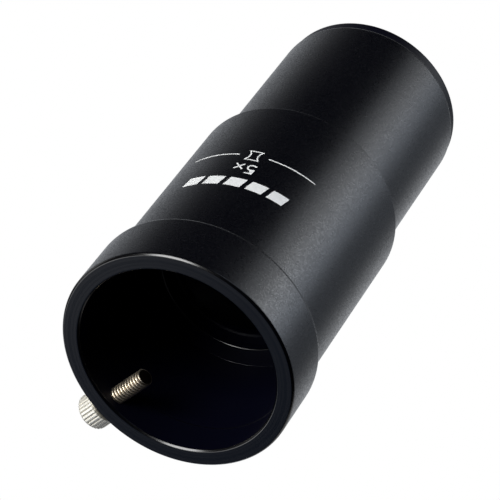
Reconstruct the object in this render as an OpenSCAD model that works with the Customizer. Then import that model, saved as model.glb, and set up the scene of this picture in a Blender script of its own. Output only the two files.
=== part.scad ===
// Short-tube 5x barlow lens for 1.25 inch eyepieces.
// +Z points to the eyepiece socket and +X along the thumbscrew, outwards. The origin is on the
// optical axis, in the plane of the shoulder where the body meets the insertion barrel. Millimetres.

/* [Eyepiece collar] */
// Outer radius of the collar
collar_r = 18.8; // [18:0.1:21]
// Height of the collar along the tube
collar_h = 10.4; // [8:0.1:14]
// Bevel on the collar's outer edges
collar_bevel = 0.4; // [0.1:0.05:1]
// Bore radius inside the collar
collar_bore_r = 15.95; // [15.9:0.01:16.1]

/* [Main body] */
// Outer radius of the body tube
body_r = 17.45; // [17:0.05:19]
// Height of the body from its shoulder to the collar
body_h = 36.1; // [25:0.1:60]
// Bore radius of the eyepiece socket
socket_r = 15.9; // [15.88:0.01:15.95]
// Depth of the socket from the collar's face to the ledge
socket_depth = 23; // [18:0.5:34]
// Inner radius of the ledge that stops an eyepiece
ledge_r = 12.7; // [10:0.1:14.5]
// Thickness of that ledge
ledge_t = 1.2; // [0.8:0.1:3]
// Radius of the thread joints between collar and body
neck_r = 17; // [16.8:0.05:17.2]
// Length of the body's neck inside the collar
neck_h = 4.5; // [3:0.1:6]
// Radius of the body's lower bore
lower_bore_r = 15.05; // [14.5:0.05:15.2]

/* [Insertion barrel] */
// Outer radius of the barrel, for a 1.25 inch focuser
barrel_r = 15.85; // [15.8:0.01:15.87]
// Length of the barrel below the shoulder
barrel_h = 32.9; // [25:0.1:40]
// Length of the turned-down lead at the barrel's end
lead_h = 2; // [0.5:0.1:3]
// Radius of that lead
lead_r = 15.55; // [15.3:0.05:15.8]
// Radius of the filter thread in the barrel's mouth
filter_r = 14.25; // [14.2:0.01:14.3]
// Length of the filter thread
filter_h = 5.6; // [3:0.1:7]
// Radius of the bore that takes the lens cell
cell_bore_r = 13.95; // [13.5:0.05:14]

/* [Lens group] */
// Radius of both lens elements
lens_r = 7.47; // [6:0.01:9]
// Radius of the polished opening of the lens faces
clear_r = 6.8; // [5:0.1:7.2]
// Radius of curvature of the front face
front_curve_r = 13; // [10:0.1:30]
// Radius of curvature of the cemented faces
joint_curve_r = 12; // [10:0.1:30]
// Radius of curvature of the rear face
rear_curve_r = 40; // [20:1:90]
// Thickness of the front element on the axis
crown_t = 1.5; // [1:0.1:3]
// Thickness of the rear element on the axis
flint_t = 3; // [2:0.1:5]
// Length of the lens cell
cell_h = 10.5; // [9:0.1:13]
// Radius of the opening in the cell's rear lip
cell_lip_r = 6.6; // [5:0.1:7]

/* [Baffle] */
// Radius of the hole in the baffle ring
baffle_hole_r = 10.9; // [8:0.1:12]
// Thickness of the baffle ring
baffle_t = 1.5; // [1:0.1:3]

/* [Thumbscrew] */
// Distance of the screw's axis below the collar's face
screw_drop = 3; // [2.9:0.1:5]
// Major radius of the screw's thread
screw_r = 1.42; // [1.2:0.01:2]
// Pitch of the screw's thread
screw_pitch = 0.635; // [0.4:0.005:0.8]
// Distance from the optical axis to the screw's tip when it is screwed in
screw_tip_x = 9.3; // [8:0.1:14]
// Outer radius of the knurled knob
knob_r = 2.95; // [2.5:0.05:5]
// Length of the knob
knob_h = 3.5; // [3:0.1:8]
// Gap between the collar and the knob when it is screwed in
knob_gap = 0.2; // [0.1:0.1:2]
// Number of knurl ridges round the knob
knurl_n = 28; // [16:1:40]
// Depth of a knurl groove
knurl_d = 0.28; // [0.1:0.02:0.4]

/* [Hidden] */
$fn = 96;

black = [0.07, 0.07, 0.08];
inner_black = [0.03, 0.03, 0.03];
nickel = [0.72, 0.70, 0.66];
glass = [0.45, 0.62, 0.66, 0.4];

// Radial gap between two pieces that screw or slide into each other
thread_gap = 0.05;
// Gap left between the cemented faces
cement_gap = 0.02;
// Overrun of a cutting shape past the face it opens
over = 1;

// Heights along the optical axis
face_z = body_h + collar_h;
socket_floor_z = face_z - socket_depth;
ledge_bottom_z = socket_floor_z - ledge_t;
neck_top_z = body_h + neck_h;
neck_room = 0.6;
screw_z = face_z - screw_drop;

// The barrel's neck goes up into the body and seats on a step inside the shoulder
register_h = 1;
register_r = 15.6;
barrel_neck_h = 8;
barrel_inner_r = 13.5;
mouth_bevel = 0.3;
lead_bevel = 0.15;

// The lens group hangs from a stop in the barrel
cell_top_z = -16.5;
cell_lip_t = 1.5;
cell_bottom_z = cell_top_z - cell_h;
cell_r = cell_bore_r - thread_gap;
lens_bore_r = lens_r + 0.03;
ring_r = 8.6;
ring_hole_r = 6.9;

function sag(curve_r, r) = curve_r - sqrt(curve_r * curve_r - r * r);

joint_sag = sag(joint_curve_r, lens_r);
flint_top_z = cell_top_z - cell_lip_t;
flint_rear_vertex_z = flint_top_z - sag(rear_curve_r, clear_r);
flint_front_vertex_z = flint_rear_vertex_z - flint_t;
crown_rear_vertex_z = flint_front_vertex_z - cement_gap;
crown_front_vertex_z = crown_rear_vertex_z - crown_t;
crown_edge_z = crown_front_vertex_z - sag(front_curve_r, clear_r);

knob_inner_x = collar_r + knob_gap;
knob_bevel = 0.35;
stud_socket_h = 2.4;
stud_outer_x = knob_inner_x + stud_socket_h - thread_gap;
stud_groove_d = 0.3;
stud_point_h = 0.45;
stud_turns = floor((stud_outer_x - screw_tip_x - 2 * stud_point_h) / screw_pitch);

// A solid turned from a half profile given as [radius, height] points
module turned(points) {
  rotate_extrude() polygon(points);
}

// A shape built along +Z, laid along +X at the screw's height
module along_screw(x) {
  translate([x, 0, screw_z]) rotate([0, 90, 0]) children();
}

// Two slots for a spanner, cut across the face of a ring
module spanner_slots(r, width, depth, z) {
  translate([-r - over, -width / 2, z]) cube([2 * (r + over), width, depth + over]);
}

module eyepiece_collar() {
  floor_z = neck_top_z + neck_room;
  color(black) difference() {
    turned([
      [neck_r + thread_gap, body_h],
      [collar_r - collar_bevel, body_h],
      [collar_r, body_h + collar_bevel],
      [collar_r, face_z - collar_bevel],
      [collar_r - collar_bevel, face_z],
      [collar_bore_r + mouth_bevel, face_z],
      [collar_bore_r, face_z - mouth_bevel],
      [collar_bore_r, floor_z],
      [neck_r + thread_gap, floor_z]
    ]);
    along_screw(collar_bore_r - over)
      cylinder(r = screw_r + 0.04, h = collar_r - collar_bore_r + 2 * over);
  }
}

module main_body() {
  edge = 0.25;
  lip_edge = 0.4;
  color(black) turned([
    [barrel_r + thread_gap, 0],
    [body_r - edge, 0],
    [body_r, edge],
    [body_r, body_h],
    [neck_r, body_h],
    [neck_r, neck_top_z - edge],
    [neck_r - edge, neck_top_z],
    [socket_r, neck_top_z],
    [socket_r, socket_floor_z],
    [ledge_r + lip_edge, socket_floor_z],
    [ledge_r, socket_floor_z - lip_edge],
    [ledge_r, ledge_bottom_z],
    [lower_bore_r, ledge_bottom_z],
    [lower_bore_r, register_h],
    [barrel_r + thread_gap, register_h]
  ]);
}

module baffle_ring() {
  slot_w = 1.6;
  slot_d = 0.6;
  lip = 0.3;
  bottom_z = ledge_bottom_z - baffle_t;
  color(inner_black) difference() {
    turned([
      [baffle_hole_r, bottom_z],
      [lower_bore_r - thread_gap, bottom_z],
      [lower_bore_r - thread_gap, ledge_bottom_z],
      [baffle_hole_r + lip, ledge_bottom_z],
      [baffle_hole_r, ledge_bottom_z - lip]
    ]);
    spanner_slots(lower_bore_r, slot_w, slot_d, bottom_z - over);
  }
}

module insertion_barrel() {
  color(black) turned([
    [filter_r + mouth_bevel, -barrel_h],
    [lead_r - lead_bevel, -barrel_h],
    [lead_r, -barrel_h + lead_bevel],
    [lead_r, -barrel_h + lead_h],
    [barrel_r, -barrel_h + lead_h],
    [barrel_r, 0],
    [register_r, 0],
    [register_r, register_h],
    [lower_bore_r - thread_gap, register_h],
    [lower_bore_r - thread_gap, barrel_neck_h],
    [barrel_inner_r, barrel_neck_h],
    [barrel_inner_r, cell_top_z],
    [cell_bore_r, cell_top_z],
    [cell_bore_r, -barrel_h + filter_h],
    [filter_r, -barrel_h + filter_h],
    [filter_r, -barrel_h + mouth_bevel]
  ]);
}

module lens_cell() {
  slot_w = 1.6;
  slot_d = 1;
  ring_seat_z = crown_edge_z;
  flare = 1.1;
  color(inner_black) difference() {
    turned([
      [ring_r + thread_gap, cell_bottom_z],
      [cell_r, cell_bottom_z],
      [cell_r, cell_top_z],
      [cell_lip_r + flare, cell_top_z],
      [cell_lip_r, cell_top_z - flare],
      [cell_lip_r, flint_top_z],
      [lens_bore_r, flint_top_z],
      [lens_bore_r, ring_seat_z],
      [ring_r + thread_gap, ring_seat_z]
    ]);
    spanner_slots(cell_r, slot_w, slot_d, cell_bottom_z - over);
  }
}

// The front, biconcave element
module crown_element() {
  front_centre_z = crown_front_vertex_z - front_curve_r;
  rear_centre_z = crown_rear_vertex_z + joint_curve_r;
  top_z = crown_rear_vertex_z + joint_sag;
  color(glass) difference() {
    translate([0, 0, crown_edge_z]) cylinder(r = lens_r, h = top_z - crown_edge_z);
    translate([0, 0, front_centre_z]) sphere(r = front_curve_r);
    translate([0, 0, rear_centre_z]) sphere(r = joint_curve_r);
  }
}

// The rear, meniscus element
module flint_element() {
  front_centre_z = flint_front_vertex_z + joint_curve_r;
  rear_centre_z = flint_rear_vertex_z + rear_curve_r;
  color(glass) difference() {
    intersection() {
      translate([0, 0, flint_front_vertex_z - over])
        cylinder(r = lens_r, h = flint_top_z - flint_front_vertex_z + over);
      translate([0, 0, front_centre_z]) sphere(r = joint_curve_r);
    }
    translate([0, 0, rear_centre_z]) sphere(r = rear_curve_r);
  }
}

module lens_retaining_ring() {
  slot_w = 1.4;
  slot_d = 0.6;
  ring_h = min(1.4, crown_edge_z - cell_bottom_z);
  bottom_z = crown_edge_z - ring_h;
  color(inner_black) difference() {
    turned([
      [ring_hole_r + 0.6, bottom_z],
      [ring_r, bottom_z],
      [ring_r, crown_edge_z],
      [ring_hole_r, crown_edge_z],
      [ring_hole_r, bottom_z + 0.6]
    ]);
    spanner_slots(ring_r, slot_w, slot_d, bottom_z - over);
  }
}

// Straight-knurled knob with a blind hole for the stud
module thumbscrew_knob() {
  color(nickel) along_screw(knob_inner_x) difference() {
    turned([
      [0, 0],
      [knob_r - knob_bevel, 0],
      [knob_r, knob_bevel],
      [knob_r, knob_h - knob_bevel],
      [knob_r - knob_bevel, knob_h],
      [0, knob_h]
    ]);
    for (i = [0 : knurl_n - 1])
      rotate([0, 0, i * 360 / knurl_n])
        translate([knob_r, 0, -over])
          rotate([0, 0, 45])
            translate([-knurl_d / sqrt(2), -knurl_d / sqrt(2), 0])
              cube([sqrt(2) * knurl_d, sqrt(2) * knurl_d, knob_h + 2 * over]);
    translate([0, 0, -over]) cylinder(r = screw_r + 0.03, h = stud_socket_h + over);
  }
}

// Threaded stud, its thread drawn as a row of ring grooves
module thumbscrew_stud() {
  length = stud_outer_x - screw_tip_x;
  groove_w = 0.4 * screw_pitch;
  root_r = screw_r - stud_groove_d;
  color(nickel) along_screw(screw_tip_x) turned(concat(
    [[0, 0], [root_r, 0], [screw_r, stud_groove_d]],
    [for (i = [0 : stud_turns - 1], p = [
      [screw_r, 0],
      [root_r, groove_w],
      [screw_r, 2 * groove_w]
    ]) [p[0], stud_point_h + i * screw_pitch + p[1]]],
    [[screw_r, length], [0, length]]
  ));
}

eyepiece_collar();
main_body();
baffle_ring();
insertion_barrel();
lens_cell();
crown_element();
flint_element();
lens_retaining_ring();
thumbscrew_knob();
thumbscrew_stud();
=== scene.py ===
import math

import bmesh
import bpy
from mathutils import Matrix, Vector


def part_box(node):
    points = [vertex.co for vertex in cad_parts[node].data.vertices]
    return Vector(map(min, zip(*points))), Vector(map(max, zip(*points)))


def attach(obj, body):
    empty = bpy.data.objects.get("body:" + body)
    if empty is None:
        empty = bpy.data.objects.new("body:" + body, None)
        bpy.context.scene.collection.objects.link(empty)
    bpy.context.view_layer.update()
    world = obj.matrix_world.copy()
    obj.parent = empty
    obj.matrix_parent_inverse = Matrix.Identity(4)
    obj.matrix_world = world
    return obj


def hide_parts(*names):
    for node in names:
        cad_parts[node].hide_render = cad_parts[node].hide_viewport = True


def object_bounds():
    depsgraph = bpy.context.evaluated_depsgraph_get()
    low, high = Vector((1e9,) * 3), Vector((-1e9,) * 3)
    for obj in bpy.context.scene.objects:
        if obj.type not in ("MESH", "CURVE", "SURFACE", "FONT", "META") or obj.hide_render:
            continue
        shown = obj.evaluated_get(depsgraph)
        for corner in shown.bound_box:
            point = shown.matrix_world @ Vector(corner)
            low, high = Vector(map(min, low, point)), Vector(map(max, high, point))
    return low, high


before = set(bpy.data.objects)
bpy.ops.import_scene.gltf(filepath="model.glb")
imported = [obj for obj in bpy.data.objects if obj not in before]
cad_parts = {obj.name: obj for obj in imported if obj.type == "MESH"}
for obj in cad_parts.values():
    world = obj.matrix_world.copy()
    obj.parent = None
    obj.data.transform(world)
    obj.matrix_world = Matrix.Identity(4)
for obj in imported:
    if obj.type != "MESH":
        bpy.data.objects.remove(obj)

# Barlow lens: turned and bead-blasted black anodised tube, nickel thumbscrew, coated doublet.
# The frame's +Z points to the eyepiece socket and +X along the thumbscrew, outwards.

cad_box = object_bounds()
MM = 0.001
TAU = 2 * math.pi

# ---------------------------------------------------------------- sizes, from the frame

collar_lo, collar_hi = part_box("eyepiece_collar")
body_lo, body_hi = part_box("main_body")
barrel_lo, barrel_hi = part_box("insertion_barrel")
knob_lo, knob_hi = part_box("thumbscrew_knob")
stud_lo, stud_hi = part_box("thumbscrew_stud")

COLLAR_R, FACE_Z, COLLAR_Z = collar_hi.y, collar_hi.z, collar_lo.z
BODY_R, NECK_TOP_Z = body_hi.y, body_hi.z
BARREL_R, BARREL_Z, BARREL_TOP_Z = barrel_hi.y, barrel_lo.z, barrel_hi.z
KNOB_R = (knob_hi.z - knob_lo.z) / 2
KNOB_LENGTH = knob_hi.x - knob_lo.x
SCREW_R = (stud_hi.z - stud_lo.z) / 2
SCREW_LENGTH = stud_hi.x - stud_lo.x
SCREW_Z = (stud_hi.z + stud_lo.z) / 2
CELL_TOP_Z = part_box("lens_cell")[1].z
LEDGE_BOTTOM_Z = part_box("baffle_ring")[1].z

# What the boxes don't show: the same as in the CAD source, which has no filter thread
COLLAR_BORE_R = 15.95 * MM
SOCKET_R = 15.9 * MM
NECK_R = 17.0 * MM
SEAM = 0.02 * MM
LEDGE_R = 12.7 * MM
LEDGE_T = 1.2 * MM
LOWER_BORE_R = 15.05 * MM
THREAD_GAP = 0.05 * MM
REGISTER_R = 15.6 * MM
REGISTER_H = 1.0 * MM
BARREL_INNER_R = 13.5 * MM
CELL_BORE_R = 13.95 * MM
LEAD_R = 15.55 * MM
LEAD_H = 2 * MM
FILTER_R = 14.25 * MM
FILTER_H = 5.6 * MM
FILTER_PITCH = 0.6 * MM
SCREW_PITCH = 0.635 * MM
SCREW_HOLE_R = SCREW_R + 0.04 * MM
KNOB_HOLE_R = SCREW_R + 0.03 * MM
KNOB_HOLE_DEPTH = 2.4 * MM
KNURLS = 28

# How finely the shapes are divided
AROUND = 256
KNURL_STEPS = 12
ARC_STEPS = 4
FILLET_REACH = 0.8  # the most of a side that a fillet may take up
ON_AXIS = 0.0001 * MM  # a smaller radius is a point on the axis


# ---------------------------------------------------------------- shapes

def rounded(corners, closed=True):
    """An outline through (radius, height, fillet) corners, each fillet a short arc."""
    points = []
    last = len(corners) - 1
    for i, (r, z, fillet) in enumerate(corners):
        if fillet == 0 or (not closed and i in (0, last)):
            points.append((r, z, False))
            continue
        here = Vector((r, z))
        before = Vector(corners[i - 1][:2]) - here
        after = Vector(corners[(i + 1) % len(corners)][:2]) - here
        start = here + min(fillet, FILLET_REACH * before.length) * before.normalized()
        end = here + min(fillet, FILLET_REACH * after.length) * after.normalized()
        for step in range(ARC_STEPS + 1):
            t = step / ARC_STEPS
            p = (1 - t) ** 2 * start + 2 * t * (1 - t) * here + t * t * end
            points.append((p.x, p.y, False))
    return points


def wall(r, z0, z1, step):
    """Closely spaced outline points up or down a wall that carries a relief."""
    count = max(2, round(abs(z1 - z0) / step))
    return [(r, z0 + (z1 - z0) * i / count, True) for i in range(count + 1)]


def turned(name, outline, around=AROUND, relief=None, place=None):
    """A solid turned from an outline of (radius, height, carries the relief) points."""
    mesh_verts, rows, faces = [], [], []
    for r, z, carries in outline:
        if r < ON_AXIS:
            rows.append([len(mesh_verts)])
            mesh_verts.append((0, 0, z))
            continue
        rows.append(range(len(mesh_verts), len(mesh_verts) + around))
        for k in range(around):
            angle = TAU * k / around
            radius = relief(angle, z, r) if relief and carries else r
            mesh_verts.append((radius * math.cos(angle), radius * math.sin(angle), z))
    pairs = list(zip(rows, rows[1:]))
    if len(rows[0]) > 1:
        pairs.append((rows[-1], rows[0]))
    for a, b in pairs:
        for k in range(around):
            n = (k + 1) % around
            if len(a) == 1:
                faces.append((a[0], b[n], b[k]))
            elif len(b) == 1:
                faces.append((a[k], a[n], b[0]))
            else:
                faces.append((a[k], a[n], b[n], b[k]))
    mesh = bpy.data.meshes.new(name)
    mesh.from_pydata(mesh_verts, [], faces)
    if place:
        mesh.transform(place)
    obj = bpy.data.objects.new(name, mesh)
    bpy.context.scene.collection.objects.link(obj)
    return obj


def smooth(obj, sharp_deg=40):
    """Smooth shading, with large faces kept flat beside small bevels."""
    mesh = obj.data
    mesh.shade_smooth()
    mesh.set_sharp_from_angle(angle=math.radians(sharp_deg))
    weighted = obj.modifiers.new("flat_faces", "WEIGHTED_NORMAL")
    weighted.keep_sharp = True
    return obj


def cut(obj, cutter):
    """Subtracts cutter from obj and removes it."""
    boolean = obj.modifiers.new("cut", "BOOLEAN")
    boolean.object = cutter
    boolean.operation = "DIFFERENCE"
    boolean.solver = "EXACT"
    evaluated = obj.evaluated_get(bpy.context.evaluated_depsgraph_get())
    mesh = bpy.data.meshes.new_from_object(evaluated)
    obj.modifiers.clear()
    obj.data = mesh
    bpy.data.objects.remove(cutter)
    return obj


def tooth(phase):
    """A flank-and-flat thread form: 0 at the crest and 1 at the root, once per unit of phase."""
    steepness, crest_flat = 1.3, 0.15
    return min(1.0, max(0.0, steepness * abs(2 * (phase % 1) - 1) - crest_flat))


def male_thread(major_r, pitch, depth):
    def relief(angle, height, radius):
        return min(radius, major_r - depth * tooth(height / pitch - angle / TAU))
    return relief


def female_thread(pitch, depth, low, high):
    def relief(angle, height, radius):
        fade = min(1.0, (height - low) / pitch, (high - height) / pitch)
        return radius - depth * max(0.0, fade) * (1 - tooth(height / pitch - angle / TAU))
    return relief


def knurled(outer_r, count, depth):
    groove_share = 0.55

    def relief(angle, height, radius):
        groove = max(0.0, 1 - abs(2 * ((angle * count / TAU) % 1) - 1) / groove_share)
        return min(radius, outer_r - depth * groove)
    return relief


# Turns an outline's axis from +Z to +X, at the thumbscrew's height
ALONG_SCREW = Matrix.Translation((0, 0, SCREW_Z)) @ Matrix.Rotation(math.pi / 2, 4, "Y")


def make_collar():
    edge = 0.33 * MM
    lower_edge = 0.7 * MM
    mouth = 0.3 * MM
    fine = 0.08 * MM
    floor_z = NECK_TOP_Z + SEAM
    counterbore_r = NECK_R + THREAD_GAP
    collar = turned("collar_shell", rounded([
        (counterbore_r, COLLAR_Z, fine),
        (COLLAR_R, COLLAR_Z, lower_edge),
        (COLLAR_R, FACE_Z - edge, 2 * fine),
        (COLLAR_R - edge, FACE_Z, fine),
        (COLLAR_BORE_R + mouth, FACE_Z, fine),
        (COLLAR_BORE_R, FACE_Z - mouth, fine),
        (COLLAR_BORE_R, floor_z, fine),
        (counterbore_r, floor_z, 0),
    ]))
    drill = turned("drill", [
        (0, COLLAR_BORE_R - MM, False),
        (SCREW_HOLE_R, COLLAR_BORE_R - MM, False),
        (SCREW_HOLE_R, COLLAR_R + MM, False),
        (0, COLLAR_R + MM, False),
    ], around=48, place=ALONG_SCREW)
    return smooth(cut(collar, drill))


def make_body():
    neck_edge = 0.4 * MM
    lower_edge = 0.22 * MM
    lip = 0.15 * MM
    fine = 0.05 * MM
    floor_z = LEDGE_BOTTOM_Z + LEDGE_T
    recess_r = BARREL_R + THREAD_GAP
    return smooth(turned("body_shell", rounded([
        (recess_r, body_lo.z, fine),
        (BODY_R, body_lo.z, lower_edge),
        (BODY_R, COLLAR_Z, 0),
        (NECK_R, COLLAR_Z, 0),
        (NECK_R, NECK_TOP_Z, neck_edge),
        (SOCKET_R, NECK_TOP_Z, 0),
        (SOCKET_R, floor_z, fine),
        (LEDGE_R + lip, floor_z, fine),
        (LEDGE_R, floor_z - lip, fine),
        (LEDGE_R, LEDGE_BOTTOM_Z, 0),
        (LOWER_BORE_R, LEDGE_BOTTOM_Z, 0),
        (LOWER_BORE_R, REGISTER_H, 0),
        (recess_r, REGISTER_H, 0),
    ])))


def make_barrel():
    bevel = 0.3 * MM
    lead_edge = 0.15 * MM
    tube_edge = 0.5 * MM
    fine = 0.08 * MM
    thread_depth = 0.28 * MM
    thread_low, thread_top = BARREL_Z + bevel, BARREL_Z + FILTER_H
    outline = rounded([
        (FILTER_R, thread_low, 0),
        (FILTER_R + bevel, BARREL_Z, fine),
        (LEAD_R, BARREL_Z, lead_edge),
        (LEAD_R, BARREL_Z + LEAD_H, fine),
        (BARREL_R, BARREL_Z + LEAD_H, tube_edge),
        (BARREL_R, 0, fine),
        (REGISTER_R, 0, 0),
        (REGISTER_R, REGISTER_H, 0),
        (LOWER_BORE_R - THREAD_GAP, REGISTER_H, 0),
        (LOWER_BORE_R - THREAD_GAP, BARREL_TOP_Z, fine),
        (BARREL_INNER_R, BARREL_TOP_Z, fine),
        (BARREL_INNER_R, CELL_TOP_Z, 0),
        (CELL_BORE_R, CELL_TOP_Z, 0),
        (CELL_BORE_R, thread_top, 0),
        (FILTER_R, thread_top, 0),
    ], closed=False)
    outline += wall(FILTER_R, thread_top, thread_low, FILTER_PITCH / 8)[1:-1]
    thread = female_thread(FILTER_PITCH, thread_depth, thread_low, thread_top)
    return smooth(turned("barrel_tube", outline, relief=thread))


def make_knob():
    bevel = 0.35 * MM
    fine = 0.12 * MM
    knurl_depth = 0.11 * MM
    dish_r, dish_floor_r = 0.62 * KNOB_R, 0.5 * KNOB_R
    dish_floor = KNOB_LENGTH - 0.15 * MM
    outline = rounded([
        (0, KNOB_HOLE_DEPTH, 0),
        (KNOB_HOLE_R, KNOB_HOLE_DEPTH, 0),
        (KNOB_HOLE_R, 0, 0),
        (KNOB_R - bevel, 0, fine),
        (KNOB_R, bevel, fine),
    ], closed=False)
    outline += wall(KNOB_R, bevel, KNOB_LENGTH - bevel, 0.3 * MM)
    outline += rounded([
        (KNOB_R, KNOB_LENGTH - bevel, 0),
        (KNOB_R - bevel, KNOB_LENGTH, fine),
        (dish_r, KNOB_LENGTH, fine),
        (dish_floor_r, dish_floor, fine),
        (0, dish_floor, 0),
    ], closed=False)[1:]
    knurled_from_r = 0.8 * KNOB_R
    outline = [(r, z, r > knurled_from_r) for r, z, _ in outline]
    return smooth(turned(
        "knurled_knob", outline, around=KNURLS * KNURL_STEPS,
        relief=knurled(KNOB_R, KNURLS, knurl_depth),
        place=Matrix.Translation((knob_lo.x, 0, 0)) @ ALONG_SCREW,
    ), sharp_deg=60)


def make_stud():
    point = 0.15 * MM
    end = 0.02 * MM
    thread_depth = 0.36 * MM
    hidden_end_r = 0.7 * SCREW_R
    outline = [(0, 0, False), (SCREW_R - 2 * point, 0, False), (SCREW_R - point, end, False)]
    outline += wall(SCREW_R, point, SCREW_LENGTH - end, SCREW_PITCH / 10)
    outline += [(hidden_end_r, SCREW_LENGTH, False), (0, SCREW_LENGTH, False)]
    return smooth(turned(
        "threaded_stud", outline, around=72,
        relief=male_thread(SCREW_R, SCREW_PITCH, thread_depth),
        place=Matrix.Translation((stud_lo.x, 0, 0)) @ ALONG_SCREW,
    ), sharp_deg=75)


# ---------------------------------------------------------------- print on the body

# How far the ink stands off the body, and the width of the strips that follow its curve
PRINT_T = 0.02 * MM
PRINT_CUT = 0.4 * MM


def printed(name, shapes, angle_deg, z):
    """Flat shapes of (along, up) points, cut into narrow strips and laid round the body."""
    bm = bmesh.new()
    for shape in shapes:
        bm.faces.new([bm.verts.new((x, y, 0)) for x, y in shape])
    low = min(v.co.x for v in bm.verts)
    high = max(v.co.x for v in bm.verts)
    x = low + PRINT_CUT
    while x < high:
        geom = bm.verts[:] + bm.edges[:] + bm.faces[:]
        bmesh.ops.bisect_plane(bm, geom=geom, dist=1e-9, plane_co=(x, 0, 0), plane_no=(1, 0, 0))
        x += PRINT_CUT
    bmesh.ops.recalc_face_normals(bm, faces=bm.faces)
    middle = math.radians(angle_deg)
    r = BODY_R + PRINT_T
    for v in bm.verts:
        angle = middle + v.co.x / BODY_R
        v.co = (r * math.cos(angle), r * math.sin(angle), z + v.co.y)
    for face in bm.faces:
        face.normal_update()
        if face.normal.dot(face.calc_center_median() * Vector((1, 1, 0))) < 0:
            face.normal_flip()
    mesh = bpy.data.meshes.new(name)
    bm.to_mesh(mesh)
    bm.free()
    obj = bpy.data.objects.new(name, mesh)
    bpy.context.scene.collection.objects.link(obj)
    thick = obj.modifiers.new("ink", "SOLIDIFY")
    thick.thickness = 1.5 * PRINT_T
    thick.offset = -1
    return obj


def stroke(points, width):
    """The outline of a pen stroke of even width along a line of points."""
    least_mitre = 0.5
    sides = [[], []]
    for i, p in enumerate(points):
        here = Vector(p)
        ahead = Vector(points[min(i + 1, len(points) - 1)]) - here
        behind = here - Vector(points[max(i - 1, 0)])
        a = (ahead if ahead.length else behind).normalized()
        b = (behind if behind.length else ahead).normalized()
        along = (a + b).normalized()
        normal = Vector((-along.y, along.x))
        half = width / 2 / max(least_mitre, along.dot(a))
        sides[0].append(here + half * normal)
        sides[1].append(here - half * normal)
    return sides[0] + sides[1][::-1]


def arc(cx, cy, rx, ry, start_deg, end_deg, steps=14):
    angles = [math.radians(start_deg + (end_deg - start_deg) * i / steps) for i in range(steps + 1)]
    return [(cx + rx * math.cos(t), cy + ry * math.sin(t)) for t in angles]


def make_bars():
    """Five plain slanted blocks."""
    height, wide, gap, slant = 2.3 * MM, 2.7 * MM, 0.85 * MM, 0.5 * MM
    count = 5
    whole = count * wide + (count - 1) * gap
    shapes = []
    for i in range(count):
        x = i * (wide + gap) - whole / 2
        shapes.append([
            (x - slant / 2, -height / 2),
            (x + wide - slant / 2, -height / 2),
            (x + wide + slant / 2, height / 2),
            (x + slant / 2, height / 2),
        ])
    return printed("print_bars", shapes, angle_deg=226, z=22.65 * MM)


def make_power():
    """The power of the lens, 5x."""
    pen = 0.27 * MM
    tall, wide = 2.3 * MM, 1.35 * MM
    left = -1.65 * MM
    five = [(left + wide, tall / 2), (left + 0.15 * wide, tall / 2), (left + 0.08 * wide, 0.06 * tall)]
    five += arc(left + 0.45 * wide, -0.2 * tall, 0.5 * wide, 0.3 * tall, 125, -145)
    x_left, x_right = 0.35 * MM, 1.75 * MM
    low, high = -tall / 2, 0.14 * tall
    rising = stroke([(x_left, low), (x_right, high)], pen)
    falling = stroke([(x_left, high), (x_right, low)], pen)
    shapes = [stroke(five, pen), rising, falling]
    return printed("print_power", shapes, angle_deg=226.5, z=18.6 * MM)


def make_lens_sign():
    """A plain rule on each side of the outline of a lens with hollow faces."""
    pen = 0.22 * MM
    tall, wide = 2.5 * MM, 2.3 * MM
    rule_start, rule_end = 2.4 * MM, 10.6 * MM
    curve_x = -wide / 2 - 1.4 * MM
    curve_wide, curve_tall = 1.9 * MM, tall / 2 + 0.6 * MM
    left_face = arc(curve_x, 0, curve_wide, curve_tall, -42, 42)
    right_face = [(-x, y) for x, y in left_face]
    shapes = [stroke(left_face, pen), stroke(right_face[::-1], pen)]
    for y in (-left_face[-1][1], left_face[-1][1]):
        shapes.append(stroke([(left_face[0][0], y), (right_face[0][0], y)], pen))
    for side in (-1, 1):
        shapes.append(stroke([(side * rule_start, 0), (side * rule_end, 0)], pen))
    return printed("print_lens_sign", shapes, angle_deg=226.5, z=14.8 * MM)


# ---------------------------------------------------------------- materials

NOISE_LOW, NOISE_HIGH = 0.3, 0.7  # where most of a noise's values lie
ANODISED_IOR = 1.5
GLASS_IOR = 1.55
COATING_IOR = 1.38
COATING_NM = 420.0


def new_material(name, rough, metallic=0.0):
    material = bpy.data.materials.new(name)
    material.use_nodes = True
    shader = material.node_tree.nodes["Principled BSDF"]
    shader.inputs["Roughness"].default_value = rough
    shader.inputs["Metallic"].default_value = metallic
    return material, material.node_tree, shader


def add(tree, kind, **inputs):
    """A new node with the named inputs set; a name's underscores stand for spaces."""
    node = tree.nodes.new(kind)
    for name, value in inputs.items():
        node.inputs[name.replace("_", " ")].default_value = value
    return node


def noise(tree, size, detail=2.0, roughness=0.5):
    """Noise whose features are about size across, in the object's own coordinates."""
    where = tree.nodes.new("ShaderNodeTexCoord")
    node = add(tree, "ShaderNodeTexNoise", Scale=1 / size, Detail=detail, Roughness=roughness)
    tree.links.new(where.outputs["Object"], node.inputs["Vector"])
    return node.outputs["Fac"]


def grains(tree, size):
    """A different random level in each tiny cell, about size across."""
    where = tree.nodes.new("ShaderNodeTexCoord")
    node = add(tree, "ShaderNodeTexVoronoi", Scale=1 / size)
    tree.links.new(where.outputs["Object"], node.inputs["Vector"])
    return node.outputs["Color"]


def remap(tree, value, low, high, to_low, to_high):
    """The value, carried from low-high over to to_low-to_high and kept inside it."""
    node = tree.nodes.new("ShaderNodeMapRange")
    for name, number in zip(("From Min", "From Max", "To Min", "To Max"),
                            (low, high, to_low, to_high)):
        node.inputs[name].default_value = number
    tree.links.new(value, node.inputs["Value"])
    return node.outputs["Result"]


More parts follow.
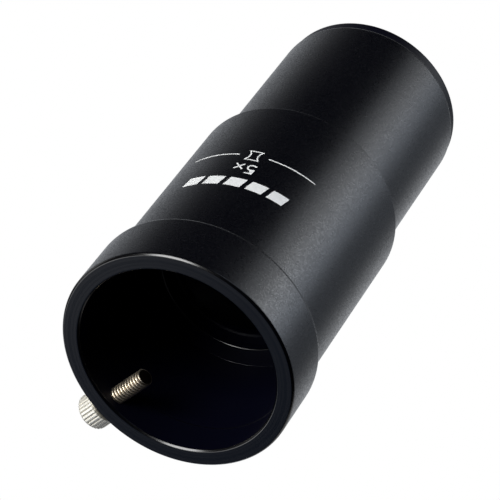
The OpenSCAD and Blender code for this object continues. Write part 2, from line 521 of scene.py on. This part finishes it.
def between(tree, factor, dark, light):
    """A colour that goes from dark to light with the factor."""
    node = tree.nodes.new("ShaderNodeMix")
    node.data_type = "RGBA"
    colours = [s for s in node.inputs if s.type == "RGBA"]
    colours[0].default_value = (*dark, 1)
    colours[1].default_value = (*light, 1)
    tree.links.new(factor, node.inputs["Factor"])
    return [s for s in node.outputs if s.type == "RGBA"][0]


def bump(tree, shader, height, strength, distance):
    node = add(tree, "ShaderNodeBump", Strength=strength, Distance=distance)
    tree.links.new(height, node.inputs["Height"])
    tree.links.new(node.outputs["Normal"], shader.inputs["Normal"])


def blasted(name, dark, light, rough, grain, specular=0.5):
    """Bead-blasted black anodising: fine pits, tiny bright specks, faint handling marks."""
    material, tree, shader = new_material(name, rough)
    shader.inputs["IOR"].default_value = ANODISED_IOR
    shader.inputs["Specular IOR Level"].default_value = specular
    pits = noise(tree, 0.3 * MM, detail=2.0, roughness=0.6)
    specks = grains(tree, 0.16 * MM)
    marks = noise(tree, 14 * MM, detail=3.0)
    bright_from = 0.6
    speckle = remap(tree, specks, bright_from, 1.0, 0.0, 1.0)
    tree.links.new(between(tree, speckle, dark, light), shader.inputs["Base Color"])
    wear, frost = 0.02, 0.13
    worn = remap(tree, marks, NOISE_LOW, NOISE_HIGH, -wear, wear)
    frosting = remap(tree, specks, 0.0, 1.0, rough + frost, rough - frost)
    total = tree.nodes.new("ShaderNodeMath")
    tree.links.new(worn, total.inputs[0])
    tree.links.new(frosting, total.inputs[1])
    tree.links.new(total.outputs["Value"], shader.inputs["Roughness"])
    bump(tree, shader, pits, strength=grain, distance=0.03 * MM)
    return material


def lathe_marks(tree, size):
    """Noise in fine circles round the optical axis, as a turning tool leaves them."""
    where = tree.nodes.new("ShaderNodeTexCoord")
    apart = tree.nodes.new("ShaderNodeSeparateXYZ")
    flat = tree.nodes.new("ShaderNodeVectorMath")
    flat.operation = "MULTIPLY"
    flat.inputs[1].default_value = (1, 1, 0)
    radius = tree.nodes.new("ShaderNodeVectorMath")
    radius.operation = "LENGTH"
    profile = tree.nodes.new("ShaderNodeCombineXYZ")
    rings = add(tree, "ShaderNodeTexNoise", Scale=1 / size, Detail=2.0)
    tree.links.new(where.outputs["Object"], apart.inputs["Vector"])
    tree.links.new(where.outputs["Object"], flat.inputs[0])
    tree.links.new(flat.outputs["Vector"], radius.inputs[0])
    tree.links.new(radius.outputs["Value"], profile.inputs["X"])
    tree.links.new(apart.outputs["Z"], profile.inputs["Y"])
    tree.links.new(profile.outputs["Vector"], rings.inputs["Vector"])
    return rings.outputs["Fac"]


def machined(name, dark, light, rough, specular=0.5):
    """Black anodising over a turned surface: smoother, with fine circular tool marks."""
    material, tree, shader = new_material(name, rough)
    shader.inputs["IOR"].default_value = ANODISED_IOR
    shader.inputs["Specular IOR Level"].default_value = specular
    marks = lathe_marks(tree, 0.2 * MM)
    cloud = noise(tree, 5 * MM, detail=3.0)
    tree.links.new(between(tree, cloud, dark, light), shader.inputs["Base Color"])
    vary = 0.04
    scored = remap(tree, marks, NOISE_LOW, NOISE_HIGH, rough - vary, rough + vary)
    tree.links.new(scored, shader.inputs["Roughness"])
    bump(tree, shader, marks, strength=0.12, distance=0.01 * MM)
    return material


def nickel(name, outer_r, inner_r, root_shade_colour, crest_colour, rough):
    """Nickel plate with painted shade: darker the nearer the thumbscrew's axis, so down in the grooves
    and over the end faces, and lightest on the crests.
    """
    material, tree, shader = new_material(name, rough, metallic=1.0)
    where = tree.nodes.new("ShaderNodeTexCoord")
    apart = tree.nodes.new("ShaderNodeSeparateXYZ")
    tree.links.new(where.outputs["Object"], apart.inputs["Vector"])
    beside = tree.nodes.new("ShaderNodeCombineXYZ")
    height = tree.nodes.new("ShaderNodeMath")
    height.operation = "SUBTRACT"
    height.inputs[1].default_value = SCREW_Z
    tree.links.new(apart.outputs["Z"], height.inputs[0])
    tree.links.new(apart.outputs["Y"], beside.inputs["X"])
    tree.links.new(height.outputs["Value"], beside.inputs["Y"])
    radius = tree.nodes.new("ShaderNodeVectorMath")
    radius.operation = "LENGTH"
    tree.links.new(beside.outputs["Vector"], radius.inputs[0])
    # Painted shade: the colour darkens from the crests down into the thread roots and knurl grooves,
    # and over the end faces.
    crest = remap(tree, radius.outputs["Value"], inner_r, outer_r, 0.0, 1.0)
    tree.links.new(between(tree, crest, root_shade_colour, crest_colour), shader.inputs["Base Color"])
    vary = 0.05
    cloud = noise(tree, 1.5 * MM, detail=3.0)
    dulled = remap(tree, cloud, NOISE_LOW, NOISE_HIGH, rough - vary, rough + vary)
    tree.links.new(dulled, shader.inputs["Roughness"])
    bump(tree, shader, noise(tree, 0.8 * MM), strength=0.05, distance=0.01 * MM)
    return material


def coated_glass(name):
    """Lens glass with a thin coating that tints what it mirrors."""
    material, tree, shader = new_material(name, 0.0)
    shader.inputs["IOR"].default_value = GLASS_IOR
    shader.inputs["Transmission Weight"].default_value = 1.0
    shader.inputs["Thin Film Thickness"].default_value = COATING_NM
    shader.inputs["Thin Film IOR"].default_value = COATING_IOR
    haze = noise(tree, 3 * MM)
    most_haze = 0.02
    hazed = remap(tree, haze, 0.4, 0.8, 0.0, most_haze)
    tree.links.new(hazed, shader.inputs["Roughness"])
    tint = between(tree, haze, (0.93, 0.97, 0.96), (0.97, 0.99, 0.98))
    tree.links.new(tint, shader.inputs["Base Color"])
    return material


def ink(name):
    """White pad-printed ink, slightly uneven."""
    material, tree, shader = new_material(name, 0.55)
    patches = noise(tree, 0.5 * MM)
    white = between(tree, patches, (0.84, 0.85, 0.84), (0.94, 0.95, 0.94))
    tree.links.new(white, shader.inputs["Base Color"])
    bump(tree, shader, noise(tree, 0.15 * MM), strength=0.2, distance=0.01 * MM)
    return material


def paint(obj, material):
    obj.data.materials.clear()
    obj.data.materials.append(material)


def paint_machined(obj, edges, bore, outer_r):
    """Gives what is inside the outer wall the bore's material, and its bevels and ends the edges'."""
    obj.data.materials.append(edges)
    obj.data.materials.append(bore)
    edge_slot, bore_slot = 1, 2
    deep = 0.35 * MM
    skin = 0.03 * MM
    upright_below, level_above = 0.2, 0.98  # between these a face's normal slants, as on a bevel
    ends = [v.co.z for v in obj.data.vertices]
    low, high = min(ends) + deep, max(ends) - deep
    for face in obj.data.polygons:
        radius = Vector(face.center[:2]).length
        if radius < outer_r - skin:
            bevel = upright_below < abs(face.normal.z) < level_above
            inside = low < face.center.z < high and not bevel
            face.material_index = bore_slot if inside else edge_slot


# ---------------------------------------------------------------- camera, floor and light

# From a camera fitted to the outline in the photo; angles in degrees, the lens in millimetres
CAMERA_AZIMUTH = -165.5
CAMERA_ELEVATION = 49.64
CAMERA_ROLL = -143.24
CAMERA_DISTANCE = 442.4 * MM
CAMERA_AIM = Vector((0.29, -1.12, 15.82)) * MM
CAMERA_LENS = 203.8

UP = Vector((0, 0, 1))
FLOOR_GAP = 0.02 * MM


def toward(azimuth_deg, elevation_deg):
    """The direction at an azimuth from +X and an elevation."""
    a, e = math.radians(azimuth_deg), math.radians(elevation_deg)
    return Vector((math.cos(e) * math.cos(a), math.cos(e) * math.sin(a), math.sin(e)))


def make_camera():
    back = toward(CAMERA_AZIMUTH, CAMERA_ELEVATION)
    level = UP.cross(back).normalized()
    above = back.cross(level)
    roll = math.radians(CAMERA_ROLL)
    right = math.cos(roll) * level + math.sin(roll) * above
    up = back.cross(right)
    data = bpy.data.cameras.new("camera")
    data.lens = CAMERA_LENS
    data.clip_start = 10 * MM
    data.clip_end = 10000 * MM
    camera = bpy.data.objects.new("camera", data)
    turn = Matrix((right, up, back)).transposed().to_4x4()
    camera.matrix_world = Matrix.Translation(CAMERA_AIM + CAMERA_DISTANCE * back) @ turn
    bpy.context.scene.collection.objects.link(camera)
    bpy.context.scene.camera = camera


def make_floor():
    """A plain, evenly bright white floor, which shows only to the camera and only from above."""
    mesh = bpy.data.meshes.new("floor")
    half = 3000 * MM
    z = cad_box[0].z - FLOOR_GAP
    mesh.from_pydata([(-half, -half, z), (half, -half, z), (half, half, z), (-half, half, z)],
                     [], [(0, 1, 2, 3)])
    floor = bpy.data.objects.new("floor", mesh)
    bpy.context.scene.collection.objects.link(floor)
    material = bpy.data.materials.new("floor_white")
    material.use_nodes = True
    tree = material.node_tree
    tree.nodes.clear()
    out = tree.nodes.new("ShaderNodeOutputMaterial")
    side = tree.nodes.new("ShaderNodeNewGeometry")
    white = tree.nodes.new("ShaderNodeEmission")
    clear = tree.nodes.new("ShaderNodeBsdfTransparent")
    mix = tree.nodes.new("ShaderNodeMixShader")
    tree.links.new(side.outputs["Backfacing"], mix.inputs["Fac"])
    tree.links.new(white.outputs[0], mix.inputs[1])
    tree.links.new(clear.outputs[0], mix.inputs[2])
    tree.links.new(mix.outputs[0], out.inputs["Surface"])
    mesh.materials.append(material)
    floor.visible_diffuse = False
    floor.visible_glossy = False
    floor.visible_transmission = False
    floor.visible_shadow = False


WHITE = (1.0, 1.0, 1.0)
PALE = (0.95, 1.0, 1.06)
COOL = (0.9, 1.0, 1.15)
SKY = (0.75, 1.0, 1.6)

# Soft lights of a light tent: (azimuth from +X, elevation, strength, half angle of the core, half
# angle where it ends, colour), in degrees. Those with a negative elevation are what the sides of
# the tube mirror to the camera. The last three are there for other views: in the photo's they
# change little but the collar's left edge.
SOFT_LIGHTS = [
    (4, -62, 0.34, 18, 46, WHITE),
    (33, -32, 0.28, 18, 46, WHITE),
    (14.5, -49.6, 0.26, 22, 58, COOL),
    (172, -41, 1.85, 5, 18, PALE),
    (158.5, -41, 2.6, 5, 15, WHITE),
    (145, -41, 2.5, 5, 18, COOL),
    (118, -45, 0.25, 5, 25, COOL),
    (252, 37, 14.0, 11, 19, WHITE),
    (327, 43, 2.6, 16, 32, WHITE),
    (14.5, 50, 0.11, 20, 45, SKY),
    (75, -10, 1.2, 5, 22, WHITE),
    (195, -6, 1.0, 5, 22, COOL),
    (310, -8, 0.9, 5, 22, WHITE),
]
TENT_GLOW = 0.0005


def make_light():
    """A world that lights the object as a tent does, and is plain white to the camera."""
    world = bpy.data.worlds.new("studio")
    bpy.context.scene.world = world
    world.use_nodes = True
    tree = world.node_tree
    tree.nodes.clear()
    where = tree.nodes.new("ShaderNodeTexCoord")
    total = None
    for azimuth, elevation, strength, core, edge, colour in SOFT_LIGHTS:
        dot = tree.nodes.new("ShaderNodeVectorMath")
        dot.operation = "DOT_PRODUCT"
        dot.inputs[1].default_value = toward(azimuth, elevation)
        tree.links.new(where.outputs["Generated"], dot.inputs[0])
        fall = tree.nodes.new("ShaderNodeMapRange")
        fall.interpolation_type = "SMOOTHSTEP"
        fall.inputs["From Min"].default_value = math.cos(math.radians(edge))
        fall.inputs["From Max"].default_value = math.cos(math.radians(core))
        tree.links.new(dot.outputs["Value"], fall.inputs["Value"])
        scaled = tree.nodes.new("ShaderNodeVectorMath")
        scaled.operation = "SCALE"
        scaled.inputs[0].default_value = Vector(colour) * strength
        tree.links.new(fall.outputs["Result"], scaled.inputs["Scale"])
        summed = tree.nodes.new("ShaderNodeVectorMath")
        summed.operation = "ADD"
        tree.links.new(scaled.outputs["Vector"], summed.inputs[0])
        if total is None:
            summed.inputs[1].default_value = (TENT_GLOW, TENT_GLOW, TENT_GLOW)
        else:
            tree.links.new(total, summed.inputs[1])
        total = summed.outputs["Vector"]
    tent = tree.nodes.new("ShaderNodeBackground")
    tree.links.new(total, tent.inputs["Color"])
    backdrop = tree.nodes.new("ShaderNodeBackground")
    backdrop.inputs["Color"].default_value = (1, 1, 1, 1)
    path = tree.nodes.new("ShaderNodeLightPath")
    mix = tree.nodes.new("ShaderNodeMixShader")
    out = tree.nodes.new("ShaderNodeOutputWorld")
    tree.links.new(path.outputs["Is Camera Ray"], mix.inputs["Fac"])
    tree.links.new(tent.outputs[0], mix.inputs[1])
    tree.links.new(backdrop.outputs[0], mix.inputs[2])
    tree.links.new(mix.outputs[0], out.inputs["Surface"])


# ---------------------------------------------------------------- the scene

bpy.context.scene.view_settings.view_transform = "Standard"
make_camera()
make_floor()
make_light()

black = blasted(
    "black_anodised", dark=(0.0001, 0.0002, 0.0018), light=(0.008, 0.008, 0.010),
    rough=0.33, grain=0.35,
)
turned_black = machined(
    "turned_black", dark=(0.0003, 0.0004, 0.0009), light=(0.0012, 0.0013, 0.002), rough=0.2,
)
bore_black = machined(
    "bore_black", dark=(0.0001, 0.0002, 0.0034), light=(0.0002, 0.0003, 0.0048),
    rough=0.45, specular=0.2,
)
inner_black = blasted(
    "matte_black", dark=(0.0002, 0.0003, 0.004), light=(0.001, 0.001, 0.006),
    rough=0.5, grain=0.4, specular=0.1,
)
# The knob's knurl grooves and end faces are painted darker, as shade.
knob_metal = nickel(
    "knob_nickel", outer_r=KNOB_R, inner_r=KNOB_R - 0.12 * MM,
    root_shade_colour=(0.46, 0.44, 0.37), crest_colour=(0.80, 0.78, 0.71), rough=0.6,
)
# The stud's thread roots and end faces are painted nearly black, as shade.
stud_metal = nickel(
    "stud_nickel", outer_r=SCREW_R - 0.08 * MM, inner_r=SCREW_R - 0.3 * MM,
    root_shade_colour=(0.04, 0.03, 0.02), crest_colour=(0.86, 0.76, 0.60), rough=0.42,
)
lens_glass = coated_glass("coated_glass")
white_ink = ink("white_ink")

PIECES = [
    (make_collar, black, "barlow_tube", "eyepiece_collar", "black_anodised"),
    (make_body, black, "barlow_tube", "main_body", "black_anodised"),
    (make_barrel, black, "barlow_tube", "insertion_barrel", "black_anodised"),
    (make_knob, knob_metal, "screw_knob", "thumbscrew_knob", "nickel"),
    (make_stud, stud_metal, "screw_knob", "thumbscrew_stud", "nickel"),
]
TURNED_OUTSIDES = {"eyepiece_collar": COLLAR_R, "main_body": BODY_R, "insertion_barrel": BARREL_R}

for make, material, body, node, slot in PIECES:
    piece = make()
    paint(piece, material)
    if node in TURNED_OUTSIDES:
        paint_machined(piece, turned_black, bore_black, TURNED_OUTSIDES[node])
    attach(piece, body)
    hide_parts(node)

for make in (make_bars, make_power, make_lens_sign):
    piece = make()
    paint(piece, white_ink)
    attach(piece, "barlow_tube")

for node, material in (
    ("baffle_ring", inner_black),
    ("lens_cell", inner_black),
    ("lens_retaining_ring", inner_black),
    ("crown_element", lens_glass),
    ("flint_element", lens_glass),
):
    paint(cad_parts[node], material)

bpy.context.view_layer.update()
